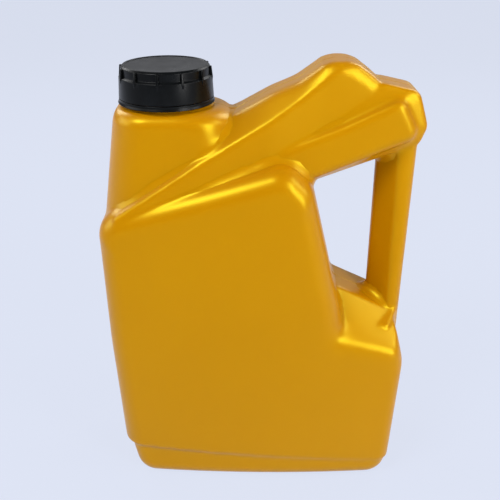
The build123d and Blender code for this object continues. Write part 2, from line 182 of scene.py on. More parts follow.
class Value:
    """A number socket that takes part in Python expressions, each of which adds its Math nodes."""

    def __init__(self, graph: Graph, socket: Any) -> None:
        """Keep the socket and the graph that its nodes belong to."""
        self.graph = graph
        self.socket = socket

    def _math(self, operation: str, first: Any, second: Any, clamp: bool = False) -> "Value":
        """Return the result of one Math node.

        Args:
            operation: The node's operation.
            first: Its first input, a number or a Value.
            second: Its second input.
            clamp: Whether the result is held between zero and one.

        Returns:
            The node's result.
        """
        settings = {"operation": operation, "use_clamp": clamp}
        node = self.graph.node("ShaderNodeMath", settings, {0: first, 1: second})
        return Value(self.graph, node.outputs[0])

    def __add__(self, other: Any) -> "Value":
        """Return the sum."""
        return self._math("ADD", self, other)

    def __radd__(self, other: Any) -> "Value":
        """Return the sum, with the number first."""
        return self._math("ADD", other, self)

    def __sub__(self, other: Any) -> "Value":
        """Return the difference."""
        return self._math("SUBTRACT", self, other)

    def __rsub__(self, other: Any) -> "Value":
        """Return the difference, with the number first."""
        return self._math("SUBTRACT", other, self)

    def __mul__(self, other: Any) -> "Value":
        """Return the product."""
        return self._math("MULTIPLY", self, other)

    def __rmul__(self, other: Any) -> "Value":
        """Return the product, with the number first."""
        return self._math("MULTIPLY", other, self)

    def __truediv__(self, other: Any) -> "Value":
        """Return the quotient."""
        return self._math("DIVIDE", self, other)

    def __rtruediv__(self, other: Any) -> "Value":
        """Return the quotient, with the number first."""
        return self._math("DIVIDE", other, self)

    def above(self, low: float, high: float) -> "Value":
        """Make a soft step.

        Args:
            low: Where it leaves zero.
            high: Where it reaches one.

        Returns:
            The step, from zero to one.
        """
        scaled = (self - low) / (high - low)
        held = self._math("ADD", scaled, 0.0, clamp=True)
        return held * held * (3 - 2 * held)


class Recipe(Graph):
    """A material's node tree and the helpers that fill it."""

    def __init__(self, name: str) -> None:
        """Make a material that holds only its output.

        Args:
            name: The material's name.
        """
        self.material = bpy.data.materials.new(name)
        self.material.use_nodes = True
        super().__init__(self.material.node_tree)
        self.tree.nodes.clear()
        self.output = self.node("ShaderNodeOutputMaterial")

    def noise(self, size: float, detail: float = 2.0, roughness: float = 0.5) -> Value:
        """Return a smooth noise from 0 to 1, in the piece's own coordinates.

        Args:
            size: The size of its grains in metres.
            detail: How many finer layers it has.
            roughness: How strong those layers are.

        Returns:
            The noise.
        """
        place = self.node("ShaderNodeTexCoord").outputs["Object"]
        inputs = {"Vector": place, "Scale": 1 / size, "Detail": detail, "Roughness": roughness}
        return Value(self, self.node("ShaderNodeTexNoise", {"normalize": True}, inputs).outputs[0])

    def mixed(self, factor: Value, first: Any, second: Any) -> Any:
        """Return the colour between two colours.

        Args:
            factor: Zero for the first colour and one for the second.
            first: A colour or a colour socket.
            second: A colour or a colour socket.

        Returns:
            The mixed colour's socket.
        """
        node = self.node("ShaderNodeMix", {"data_type": "RGBA", "clamp_factor": True})
        colours = [socket for socket in node.inputs if socket.type == "RGBA"]
        self.feed(node.inputs[0], factor)
        self.feed(colours[0], first)
        self.feed(colours[1], second)
        return next(socket for socket in node.outputs if socket.type == "RGBA")

    def bump(self, height: Value, depth: float, under: Any = None) -> Any:
        """Return the normal of a surface with small relief.

        Args:
            height: The relief, from 0 to 1.
            depth: The height of one, in metres.
            under: A normal that the relief is added to.

        Returns:
            The normal's socket.
        """
        inputs = {"Height": height, "Distance": depth, "Strength": 1.0}
        if under is not None:
            inputs["Normal"] = under
        return self.node("ShaderNodeBump", inputs=inputs).outputs[0]

    def surfaced(self, surface: Any) -> bpy.types.Material:
        """Put a shader's socket out as the surface and return the material."""
        self.feed(self.output.inputs["Surface"], surface)
        return self.material

    def finish(self, inputs: dict[str, Any]) -> bpy.types.Material:
        """Add the surface shader with its inputs and return the material."""
        return self.surfaced(self.node("ShaderNodeBsdfPrincipled", inputs=inputs).outputs[0])


@dataclass(frozen=True)
class ShellPlastic:
    """Satin blown polyethylene: yellow, a little cloudy, with the fine texture of a blasted mould."""

    light: Colour = srgb(180, 121, 0)
    deep: Colour = srgb(172, 112, 0)
    cloud: float = 0.09
    speckle: float = 0.0024
    speckle_share: float = 0.2
    roughness: float = 0.31
    roughness_spread: float = 0.05
    roughness_patch: float = 0.02
    refraction: float = 1.5
    gloss: float = 0.95
    gloss_tint: Colour = (1.0, 0.92, 0.04, 1.0)
    scatter: float = 0.12
    scatter_colour: tuple[float, float, float] = (1.0, 0.55, 0.1)
    scatter_depth: float = 0.004
    grain: float = 0.0011
    grain_depth: float = 0.000014
    wave: float = 0.04
    wave_depth: float = 0.00013

    def material(self) -> bpy.types.Material:
        """Fill a new material.

        Returns:
            The plastic's material.
        """
        recipe = Recipe("yellow_polyethylene")
        clouds = recipe.noise(self.cloud, detail=1.0) * (1 - self.speckle_share)
        speckles = recipe.noise(self.speckle) * self.speckle_share
        patches = recipe.noise(self.roughness_patch, detail=3.0) - 0.5
        wavy = recipe.bump(recipe.noise(self.wave, detail=1.0), self.wave_depth)
        return recipe.finish(
            {
                "Base Color": recipe.mixed(clouds + speckles, self.deep, self.light),
                "Roughness": self.roughness + patches * self.roughness_spread,
                "Normal": recipe.bump(recipe.noise(self.grain), self.grain_depth, wavy),
                "IOR": self.refraction,
                "Specular IOR Level": self.gloss,
                "Specular Tint": self.gloss_tint,
                "Subsurface Weight": self.scatter,
                "Subsurface Radius": self.scatter_colour,
                "Subsurface Scale": self.scatter_depth,
            }
        )


@dataclass(frozen=True)
class ClosurePlastic:
    """Satin moulded polypropylene: black, with faint flow marks and handling dust on its flats."""

    dark: Colour = srgb(5, 6, 6)
    pale: Colour = srgb(11, 13, 14)
    smudge: float = 0.012
    roughness: float = 0.3
    roughness_spread: float = 0.16
    roughness_patch: float = 0.008
    refraction: float = 1.49
    gloss: float = 0.14
    grain: float = 0.0007
    grain_depth: float = 0.00002

    def material(self) -> bpy.types.Material:
        """Fill a new material.

        Returns:
            The plastic's material.
        """
        recipe = Recipe("black_polypropylene")
        smudges = recipe.noise(self.smudge, detail=4.0, roughness=0.6).above(0.4, 0.75)
        patches = recipe.noise(self.roughness_patch, detail=3.0) - 0.5
        return recipe.finish(
            {
                "Base Color": recipe.mixed(smudges, self.dark, self.pale),
                "Roughness": self.roughness + patches * self.roughness_spread,
                "Normal": recipe.bump(recipe.noise(self.grain), self.grain_depth),
                "IOR": self.refraction,
                "Specular IOR Level": self.gloss,
            }
        )


@dataclass(frozen=True)
class LinerFoam:
    """Off-white foamed polyethylene with fine cells."""

    pale: Colour = srgb(236, 235, 229)
    grey: Colour = srgb(219, 218, 211)
    roughness: float = 0.6
    roughness_spread: float = 0.1
    cell: float = 0.0006
    cell_depth: float = 0.00005

    def material(self) -> bpy.types.Material:
        """Fill a new material.

        Returns:
            The foam's material.
        """
        recipe = Recipe("foamed_polyethylene")
        cells = recipe.noise(self.cell, detail=1.0)
        return recipe.finish(
            {
                "Base Color": recipe.mixed(cells.above(0.3, 0.7), self.grey, self.pale),
                "Roughness": self.roughness + cells * self.roughness_spread,
                "Normal": recipe.bump(cells, self.cell_depth),
            }
        )


def new_object(name: str, mesh: bpy.types.Mesh) -> bpy.types.Object:
    """Add an object to the scene.

    Args:
        name: The object's name.
        mesh: Its mesh.

    Returns:
        The object.
    """
    thing = bpy.data.objects.new(name, mesh)
    bpy.context.scene.collection.objects.link(thing)
    return thing


def form_of(
    points: Sequence[Sequence[float]], faces: Sequence[Sequence[int]]
) -> bmesh.types.BMesh:
    """Return a form with its faces outwards.

    Args:
        points: The places of its vertices; those in one place become one.
        faces: The vertex numbers of each face.

    Returns:
        The form.
    """
    form = bmesh.new()
    corners = [form.verts.new(point) for point in points]
    for face in faces:
        form.faces.new([corners[corner] for corner in face])
    bmesh.ops.remove_doubles(form, verts=form.verts, dist=ONE_PLACE)
    bmesh.ops.recalc_face_normals(form, faces=form.faces)
    return form


def mesh_from(form: bmesh.types.BMesh, name: str) -> bpy.types.Mesh:
    """Turn a form into a smooth-shaded mesh, and free the form.

    Args:
        form: The form.
        name: The mesh's name.

    Returns:
        The mesh.
    """
    mesh = bpy.data.meshes.new(name)
    form.to_mesh(mesh)
    form.free()
    mesh.polygons.foreach_set("use_smooth", [True] * len(mesh.polygons))
    return mesh


def bevelled(form: bmesh.types.BMesh, width: float, name: str) -> bpy.types.Mesh:
    """Return a form's mesh with all its edges rounded, and free the form.

    Args:
        form: The form.
        width: How far the rounding reaches from each edge.
        name: The mesh's name.

    Returns:
        The mesh.
    """
    bmesh.ops.bevel(
        form, geom=form.edges[:], offset=width, segments=2, affect="EDGES", profile=0.5, clamp_overlap=True
    )
    return mesh_from(form, name)


def baked(thing: bpy.types.Object) -> bpy.types.Mesh:
    """Take the object's evaluated shape, and clear its modifiers.

    Args:
        thing: The object.

    Returns:
        The shape as a plain mesh.
    """
    bpy.context.view_layer.update()
    graph = bpy.context.evaluated_depsgraph_get()
    mesh = bpy.data.meshes.new_from_object(thing.evaluated_get(graph))
    thing.modifiers.clear()
    return mesh


def modified(mesh: bpy.types.Mesh, kind: str, settings: dict[str, Any]) -> bpy.types.Mesh:
    """Return a mesh as one modifier changes it.

    Args:
        mesh: The mesh.
        kind: The modifier's type.
        settings: The modifier's properties.

    Returns:
        The changed mesh.
    """
    thing = new_object("modified_form", mesh)
    modifier = thing.modifiers.new("change", kind)
    for name, setting in settings.items():
        setattr(modifier, name, setting)
    result = baked(thing)
    bpy.data.objects.remove(thing)
    return result


def remeshed(mesh: bpy.types.Mesh, voxel: float) -> bpy.types.Mesh:
    """Return a closed mesh rebuilt in even quads of about the voxel's size."""
    return modified(mesh, "REMESH", {"mode": "VOXEL", "voxel_size": voxel})


def thinned(mesh: bpy.types.Mesh, triangles: int) -> bpy.types.Mesh:
    """Return a mesh of about the given count of triangles, which stay small where the surface turns."""
    return modified(mesh, "DECIMATE", {"ratio": min(1.0, triangles / (2 * len(mesh.polygons)))})


def dress(
    thing: bpy.types.Object, material: bpy.types.Material, body: Body
) -> bpy.types.Object:
    """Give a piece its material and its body.

    Args:
        thing: The piece.
        material: Its only material.
        body: The body that it rides on.

    Returns:
        The piece.
    """
    thing.data.materials.clear()
    thing.data.materials.append(material)
    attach(thing, body.value)
    log.info("%s: %d faces on body %s", thing.name, len(thing.data.polygons), body.value)
    return thing


def rounded(corners: Sequence[tuple[float, float, float]], steps: int = 6) -> Profile:
    """Return a closed profile with an arc at each corner.

    Args:
        corners: Radius from the axis, height and corner radius of each corner, in order.
        steps: How many spans an arc has.

    Returns:
        The profile's points.
    """
    profile: Profile = []
    for index, (radius, height, round_off) in enumerate(corners):
        here = np.array((radius, height))
        back = np.array(corners[index - 1][:2]) - here
        ahead = np.array(corners[(index + 1) % len(corners)][:2]) - here
        back, ahead = back / np.linalg.norm(back), ahead / np.linalg.norm(ahead)
        if round_off <= 0:
            profile.append((radius, height))
            continue
        half = math.acos(max(-1.0, min(1.0, float(back @ ahead)))) / 2
        start = here + back * round_off / math.tan(half)
        end = here + ahead * round_off / math.tan(half)
        centre = here + (back + ahead) / np.linalg.norm(back + ahead) * round_off / math.sin(half)
        for step in range(steps + 1):
            between = start + (end - start) * step / steps - centre
            point = centre + between / np.linalg.norm(between) * round_off
            profile.append((float(point[0]), float(point[1])))
    return profile


def lathe(name: str, profile: Profile, centre_x: float, segments: int = 160) -> bpy.types.Mesh:
    """Return the mesh that a closed profile makes round an upright axis.

    Args:
        name: The mesh's name.
        profile: Radii and heights, closed by itself; points on the axis become poles.
        centre_x: The axis's place on X.
        segments: How many steps a turn has.

    Returns:
        The mesh, with its normals outwards.
    """
    turns = [TAU * step / segments for step in range(segments)]
    points = [(centre_x + r * math.cos(a), r * math.sin(a), z) for r, z in profile for a in turns]
    count = len(profile)
    faces = []
    for row in range(count):
        below, above = row * segments, (row + 1) % count * segments
        for step in range(segments):
            ahead = (step + 1) % segments
            faces.append((below + step, below + ahead, above + ahead, above + step))
    return mesh_from(form_of(points, faces), name)


@dataclass
class Thread:
    """One turn and a half of a right-hand screw ridge with tapered ends."""

    centre_x: float
    start: float
    root_radius: float
    crest_radius: float
    pitch: float = 6.0 * MM
    turns: float = 1.5
    root_width: float = 2.6 * MM
    crest_width: float = 1.2 * MM
    flank_round: float = 0.1 * MM
    crest_round: float = 0.15 * MM
    shoulder_share: float = 0.12
    bite: float = 0.3 * MM
    taper: float = 0.06
    least_rise: float = 0.02
    steps: int = 150

    def mesh(self, name: str) -> bpy.types.Mesh:
        """Build the ridge.

        Args:
            name: The mesh's name.

        Returns:
            Its closed mesh.
        """
        outwards = 1 if self.crest_radius > self.root_radius else -1
        buried = self.root_radius - outwards * self.bite
        points = []
        for step in range(self.steps + 1):
            share = step / self.steps
            rise = min(1.0, share / self.taper, (1 - share) / self.taper)
            rise = math.sin(rise * math.pi / 2)
            crest = buried + (self.crest_radius - buried) * max(rise, self.least_rise)
            shoulder = crest + (buried - crest) * self.shoulder_share
            upper = [
                (crest, self.crest_width / 2 - self.crest_round),
                (shoulder, self.crest_width / 2 + self.flank_round),
                (buried, self.root_width / 2),
            ]
            outline = [(radius, -offset) for radius, offset in reversed(upper)] + upper
            angle = TAU * self.turns * share
            height = self.start + self.pitch * self.turns * share
            for radius, offset in outline:
                x = self.centre_x + radius * math.cos(angle)
                points.append((x, radius * math.sin(angle), height + offset))
        side = len(points) // (self.steps + 1)
        faces: list[tuple[int, ...]] = []
        for step in range(self.steps):
            for corner in range(side):
                ahead = (corner + 1) % side
                low, high = step * side, (step + 1) * side
                faces.append((low + corner, low + ahead, high + ahead, high + corner))
        faces.append(tuple(range(side)))
        faces.append(tuple(self.steps * side + corner for corner in reversed(range(side))))
        return mesh_from(form_of(points, faces), name)


def joined(name: str, meshes: Sequence[bpy.types.Mesh]) -> bpy.types.Mesh:
    """Put several meshes side by side in one.

    Args:
        name: The new mesh's name.
        meshes: The meshes.

    Returns:
        The one mesh.
    """
    form = bmesh.new()
    for mesh in meshes:
        form.from_mesh(mesh)
    return mesh_from(form, name)


class NodeTree(Graph):
    """A Geometry Nodes tree with named inputs."""

    def __init__(self, name: str, inputs: dict[str, str]) -> None:
        """Make the tree with a geometry input and output, and the given inputs.

        Args:
            name: The tree's name.
            inputs: Each further input's name and socket type.
        """
        super().__init__(bpy.data.node_groups.new(name, "GeometryNodeTree"))
        sockets = self.tree.interface
        sockets.new_socket("Geometry", in_out="INPUT", socket_type="NodeSocketGeometry")
        self.identifiers = {}
        for label, kind in inputs.items():
            socket = sockets.new_socket(label, in_out="INPUT", socket_type=kind)
            self.identifiers[label] = socket.identifier
        sockets.new_socket("Geometry", in_out="OUTPUT", socket_type="NodeSocketGeometry")
        self.entry = self.node("NodeGroupInput")

    def close(self, geometry: Any) -> None:
        """End the tree: make the geometry real, give it the material input and put it out.

        Args:
            geometry: The geometry to put out.
        """
        real = self.node("GeometryNodeRealizeInstances", inputs={0: geometry})
        inputs = {"Geometry": real.outputs[0], "Material": self.entry.outputs["Material"]}
        dressed = self.node("GeometryNodeSetMaterial", inputs=inputs)
        self.node("NodeGroupOutput", inputs={0: dressed.outputs[0]})

    def grown(self, name: str, mesh: bpy.types.Mesh, values: dict[str, Any]) -> bpy.types.Object:
        """Return a plain mesh object that the tree makes from a mesh.

        Args:
            name: The object's name.
            mesh: What the tree starts from.
            values: The tree's inputs by name.

        Returns:
            The object, without the modifier.
        """
        seed = new_object(name + "_seed", mesh)
        modifier = seed.modifiers.new("pattern", "NODES")
        modifier.node_group = self.tree
        for label, value in values.items():
            modifier[self.identifiers[label]] = value
        result = baked(seed)
        bpy.data.objects.remove(seed)
        result.polygons.foreach_set("use_smooth", [True] * len(result.polygons))
        return new_object(name, result)


def round_tree() -> NodeTree:
    """Build the tree that repeats a mesh at even turns round an upright axis.

    Returns:
        The tree.
    """
    inputs = {
        "Count": "NodeSocketInt",
        "Phase": "NodeSocketFloat",
        "Centre": "NodeSocketVector",
        "Material": "NodeSocketMaterial",
    }
    tree = NodeTree("repeat_round_axis", inputs)
    entry = tree.entry.outputs
    points = tree.node("GeometryNodePoints", inputs={"Count": entry["Count"], "Position": entry["Centre"]})
    index = Value(tree, tree.node("GeometryNodeInputIndex").outputs[0])
    turn = index * (TAU / Value(tree, entry["Count"])) + Value(tree, entry["Phase"])
    angles = tree.node("ShaderNodeCombineXYZ", inputs={"Z": turn})
    copies = tree.node(
        "GeometryNodeInstanceOnPoints",
        inputs={"Points": points.outputs[0], "Instance": entry["Geometry"], "Rotation": angles.outputs[0]},
    )
    tree.close(copies.outputs[0])
    return tree


def bead_tree() -> NodeTree:
    """Build the tree that lays a thin round bead along the edges of a mesh.

    Returns:
        The tree.
    """
    inputs = {
        "Spacing": "NodeSocketFloat",
        "Radius": "NodeSocketFloat",
        "Sides": "NodeSocketInt",
        "Material": "NodeSocketMaterial",
    }
    tree = NodeTree("bead_along_edges", inputs)
    entry = tree.entry.outputs
    line = tree.node("GeometryNodeMeshToCurve", inputs={0: entry["Geometry"]})
    even = tree.node(
        "GeometryNodeResampleCurve",
        {"mode": "LENGTH"},
        {"Curve": line.outputs[0], "Length": entry["Spacing"]},
    )
    ring = tree.node(
        "GeometryNodeCurvePrimitiveCircle",
        inputs={"Resolution": entry["Sides"], "Radius": entry["Radius"]},
    )
    tube = tree.node(
        "GeometryNodeCurveToMesh",
        inputs={"Curve": even.outputs[0], "Profile Curve": ring.outputs[0], "Fill Caps": True},
    )
    tree.close(tube.outputs[0])
    return tree


@dataclass(frozen=True)
class Roll:
    """An edge on the front, and its mirror on the back, that is blown rounder than the rest."""

    start: tuple[float, float, float]
    end: tuple[float, float, float]
    reach: float
    rounds: int

    def shares(self, points: np.ndarray) -> np.ndarray:
        """Weigh points by their distance from the edge.

        Args:
            points: Their places, a row each.

        Returns:
            Each point's share: one near the edge, and zero past the reach.
        """
        start = np.array(self.start)
        along = np.array(self.end) - start
        front = points * (1, 0, 1) - np.abs(points) * (0, 1, 0) - start
        place = np.clip(front @ along / (along @ along), 0, 1)
        distance = np.linalg.norm(front - place[:, None] * along, axis=1)
        return np.clip(2 * (1 - distance / self.reach), 0, 1)


@dataclass
class BottleShell:
    """The blown shell: an outer skin with soft edges and an inner skin one wall behind it."""

    wall: float = 1.1 * MM
    voxel: float = 1.0 * MM
    inner_voxel: float = 4.2 * MM
    solid_cut: float = 276.0 * MM
    neck_cut: float = 277.2 * MM
    neck_reach: float = -26.0 * MM
    plug_top: float = 290.0 * MM
    weld: float = 0.002 * MM
    rounds: int = 12
    pace: float = 0.5
    inner_rounds: int = 4
    faces_kept: int = 165000
    base_hold: float = 1.5 * MM
    rolls: tuple[Roll, ...] = (
        Roll((0.046, -0.047, 0.121), (0.094, -0.046, 0.107), 18 * MM, 70),
        Roll((-0.041, -0.031, 0.2695), (-0.034, -0.032, 0.259), 12 * MM, 30),
        Roll((-0.01, -0.0155, 0.2735), (0.032, -0.0155, 0.297), 9 * MM, 40),
    )

    def _outer_solid(self) -> bpy.types.Mesh:
        """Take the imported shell's outer skin.

        Returns:
            It as a closed solid, with a plain plug for its neck.
        """
        form = bmesh.new()
        form.from_mesh(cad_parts["bottle"].data)
        bmesh.ops.remove_doubles(form, verts=form.verts, dist=self.weld)
        self._cut_neck(form, self.solid_cut)
        self._keep_largest(form)
        rim = [edge for edge in form.edges if edge.is_boundary]
        raised = bmesh.ops.extrude_edge_only(form, edges=rim)["geom"]
        for vertex in (item for item in raised if isinstance(item, bmesh.types.BMVert)):
            vertex.co.z = self.plug_top
        top = [edge for edge in form.edges if edge.is_boundary]
        bmesh.ops.contextual_create(form, geom=top)
        bmesh.ops.recalc_face_normals(form, faces=form.faces)
        return mesh_from(form, "outer_solid")

    def _cut_neck(self, form: bmesh.types.BMesh, height: float) -> None:
        """Cut away the neck, and leave the handle's bump as it is.

        Args:
            form: The form to cut.
            height: Where to cut it.
        """
        near = {vertex for vertex in form.verts if vertex.co.x < self.neck_reach}
        faces = [face for face in form.faces if all(vertex in near for vertex in face.verts)]
        edges = dict.fromkeys(edge for face in faces for edge in face.edges)
        corners = dict.fromkeys(vertex for face in faces for vertex in face.verts)
        bmesh.ops.bisect_plane(
            form,
            geom=[*corners, *edges, *faces],
            dist=ON_PLANE,
            plane_co=(0, 0, height),
            plane_no=(0, 0, 1),
            clear_outer=True,
        )

    @staticmethod
    def _keep_largest(form: bmesh.types.BMesh) -> None:
        """Delete all of a form but the loose part that reaches furthest along X.

        Args:
            form: The form to clear.
        """
        left = set(form.verts)
        parts = []
        while left:
            part, waiting = set(), [left.pop()]
            while waiting:
                vertex = waiting.pop()
                part.add(vertex)
                near = [edge.other_vert(vertex) for edge in vertex.link_edges]
                fresh = [other for other in near if other in left]
                left.difference_update(fresh)
                waiting.extend(fresh)
            parts.append(part)
        reach = [max(v.co.x for v in part) - min(v.co.x for v in part) for part in parts]
        kept = parts[int(np.argmax(reach))]
        bmesh.ops.delete(form, geom=[v for v in form.verts if v not in kept], context="VERTS")

    def _soften(self, mesh: bpy.types.Mesh, rounds: int, rolls: Sequence[Roll] = ()) -> None:
        """Smooth a mesh in place, so that its edges and valleys blend.

        Args:
            mesh: The mesh.
            rounds: How many times each vertex moves towards its neighbours.
            rolls: Edges that are smoothed further.
        """
        count = len(mesh.vertices)
        points = np.empty(count * 3)
        mesh.vertices.foreach_get("co", points)
        points = points.reshape(-1, 3)
        ends = np.empty(len(mesh.edges) * 2, int)
        mesh.edges.foreach_get("vertices", ends)
        first, second = ends.reshape(-1, 2).T
        degree = np.bincount(first, minlength=count) + np.bincount(second, minlength=count)
        floor = points[:, 2] < self.base_hold
        shares = [np.ones(count)] * rounds
        for roll in rolls:
            shares += [roll.shares(points)] * roll.rounds
        for share in shares:
            total = np.zeros_like(points)
            for axis in range(3):
                total[:, axis] += np.bincount(first, points[second, axis], count)
                total[:, axis] += np.bincount(second, points[first, axis], count)
            pull = total / degree[:, None] - points
            pull[floor, 2] = 0
            points += pull * share[:, None] * self.pace
        mesh.vertices.foreach_set("co", points.ravel())
        mesh.update()

    def _cut(self, mesh: bpy.types.Mesh, inwards: float) -> bmesh.types.BMesh:
        """Return a skin moved inwards and open at the neck's cut.

        Args:
            mesh: The closed skin.
            inwards: How far each vertex moves against its normal.

        Returns:
            The skin as a new form.
        """
        form = bmesh.new()
        form.from_mesh(mesh)
        form.normal_update()
        for vertex in form.verts:
            vertex.co -= vertex.normal * inwards
        self._cut_neck(form, self.neck_cut)
        return form

    def build(self, plastic: bpy.types.Material) -> bpy.types.Object:
        """Build the shell and dress it.

        Args:
            plastic: The shell's material.

        Returns:
            The shell.
        """
        outer = remeshed(self._outer_solid(), self.voxel)
        self._soften(outer, self.rounds, self.rolls)
        inner = remeshed(outer.copy(), self.inner_voxel)
        self._soften(inner, self.inner_rounds)
        skins = self._cut(thinned(outer, self.faces_kept), 0.0)
        lining = self._cut(inner, self.wall)
        bmesh.ops.reverse_faces(lining, faces=lining.faces)
        skins.from_mesh(mesh_from(lining, "lining"))
        rims = [edge for edge in skins.edges if edge.is_boundary]
        bmesh.ops.bridge_loops(skins, edges=rims)
        shell = new_object("bottle_shell", mesh_from(skins, "bottle_shell"))
        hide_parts("bottle")
        return dress(shell, plastic, Body.BOTTLE)


@dataclass
class NeckFinish:
    """The neck above the shell: its tube, retaining bead and screw thread."""

    bottom: float = 276.8 * MM
    bore: float = 23.6 * MM
    outer: float = 25.4 * MM
    bead_radius: float = 28.8 * MM
    bead_bottom: float = 277.9 * MM
    bead_height: float = 1.5 * MM
    thread_start: float = 284.0 * MM
    thread_depth: float = 2.0 * MM

    def build(self, plastic: bpy.types.Material) -> bpy.types.Object:
        """Build the neck and dress it.

        Args:
            plastic: Its material.

        Returns:
            The neck.
        """
        axis_x = neck_axis()
        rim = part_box("sealing_liner")[0].z
        bead_top = self.bead_bottom + self.bead_height
        corners = [
            (self.bore, self.bottom, 0),
            (self.outer, self.bottom, 0),
            (self.outer, self.bead_bottom, 0.3 * MM),
            (self.bead_radius, self.bead_bottom, 0.3 * MM),
            (self.bead_radius, bead_top - self.bead_height / 2, 0.3 * MM),
            (self.outer, bead_top + self.bead_height / 2, 0.8 * MM),
            (self.outer, rim, 0.45 * MM),
            (self.bore, rim, 0.45 * MM),
        ]
        tube = lathe("neck_tube", rounded(corners), axis_x)
        thread = Thread(axis_x, self.thread_start, self.outer, self.outer + self.thread_depth)
        neck = new_object("neck_finish", joined("neck_finish", [tube, thread.mesh("neck_thread")]))
        return dress(neck, plastic, Body.BOTTLE)


def neck_axis() -> float:
    """Return the place on X of the neck's axis, the middle of the liner."""
    low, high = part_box("sealing_liner")
    return (low.x + high.x) / 2


@dataclass
class ScrewCap:
    """The cap: a tapered skirt, a recessed band with thin ribs, a dished top and a thread inside."""

    bore: float = 27.8 * MM
    seat: float = 26.4 * MM
    skirt_top: float = 30.2 * MM
    band: float = 28.7 * MM
    disc: float = 27.4 * MM
    shoulder: float = 1.2 * MM
    band_height: float = 6.0 * MM
    dish_margin: float = 1.6 * MM
    dish_depth: float = 0.3 * MM
    seat_rise: float = 2.0 * MM
    thread_top: float = 294.3 * MM
    thread_start: float = 281.84 * MM
    thread_depth: float = 2.0 * MM
    rib_count: int = 12
    rib_phase: float = math.radians(-4.0)
    rib_width: float = 1.5 * MM
    rib_reach: float = 29.9 * MM
    rib_top_drop: float = 1.0 * MM
    rib_knee_drop: float = 2.0 * MM
    rib_foot_drop: float = 6.3 * MM
    rib_rise: float = 0.4 * MM
    rib_bevel: float = 0.25 * MM

    def __post_init__(self) -> None:
        """Take the cap's place and heights from its packed box."""
        low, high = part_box("screw_cap")
        self.axis_x = neck_axis()
        self.bottom, self.top = low.z, high.z
        self.skirt_bottom_radius = (high.y - low.y) / 2
        self.band_bottom = self.top - self.band_height

    def _body(self) -> bpy.types.Mesh:
        """Turn the body.

        Returns:
            Its mesh.
        """
        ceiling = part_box("sealing_liner")[1].z
        dish = self.disc - self.dish_margin
        corners = [
            (self.bore, self.bottom, 0.2 * MM),
            (self.skirt_bottom_radius, self.bottom, 0.3 * MM),
            (self.skirt_top, self.band_bottom - self.shoulder, 0.6 * MM),
            (self.band, self.band_bottom, 0.6 * MM),
            (self.band, self.top - self.shoulder, 0.7 * MM),
            (self.disc, self.top, 0.5 * MM),
            (dish, self.top, 0.2 * MM),
            (dish - self.dish_depth, self.top - self.dish_depth, 0.2 * MM),
            (0, self.top - self.dish_depth, 0),
            (0, ceiling, 0),
            (self.seat, ceiling, 0.3 * MM),
            (self.seat, self.thread_top + self.seat_rise, 0.4 * MM),
            (self.bore, self.thread_top, 0.4 * MM),
        ]
        return lathe("cap_body", rounded(corners), self.axis_x)

    def _skirt(self, height: float) -> float:
        """Return the skirt's outer radius at a height."""
        share = (height - self.bottom) / (self.band_bottom - self.bottom)
        return self.skirt_bottom_radius + (self.skirt_top - self.skirt_bottom_radius) * share

    def _rib(self) -> bpy.types.Mesh:
        """Shape one rib.

        Returns:
            Its mesh, on the +X side of an axis at the origin.
        """
        inner = (self.bore + self.band) / 2
        knee = self.band_bottom - self.rib_knee_drop
        foot = self.band_bottom - self.rib_foot_drop
        outline = [
            (inner, self.top - self.rib_top_drop),
            (self.rib_reach, self.top - self.rib_top_drop),
            (self._skirt(knee) + self.rib_rise, knee),
            (self._skirt(foot) - self.rib_rise, foot),
            (inner, foot),
        ]
        half = self.rib_width / 2
        points = [(x, side * half, z) for side in (-1, 1) for x, z in outline]
        count = len(outline)
        faces: list[tuple[int, ...]] = [tuple(range(count)), tuple(reversed(range(count, 2 * count)))]
        faces += [(i, i + count, (i + 1) % count + count, (i + 1) % count) for i in range(count)]
        return bevelled(form_of(points, faces), self.rib_bevel, "rib")

    def build(self, plastic: bpy.types.Material, rounds: NodeTree) -> list[bpy.types.Object]:
        """Build the cap and dress it.

        Args:
            plastic: The cap's material.
            rounds: The tree that repeats the rib.

        Returns:
            The cap's pieces.
        """
        thread = Thread(self.axis_x, self.thread_start, self.bore, self.bore - self.thread_depth)
        body = new_object("cap_body", joined("cap_body", [self._body(), thread.mesh("cap_thread")]))
        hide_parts("screw_cap")
        values = {
            "Count": self.rib_count,
            "Phase": self.rib_phase,
            "Centre": (self.axis_x, 0.0, 0.0),
            "Material": plastic,
        }
        ribs = rounds.grown("cap_ribs", self._rib(), values)
        return [dress(piece, plastic, Body.CAP) for piece in (body, ribs)]


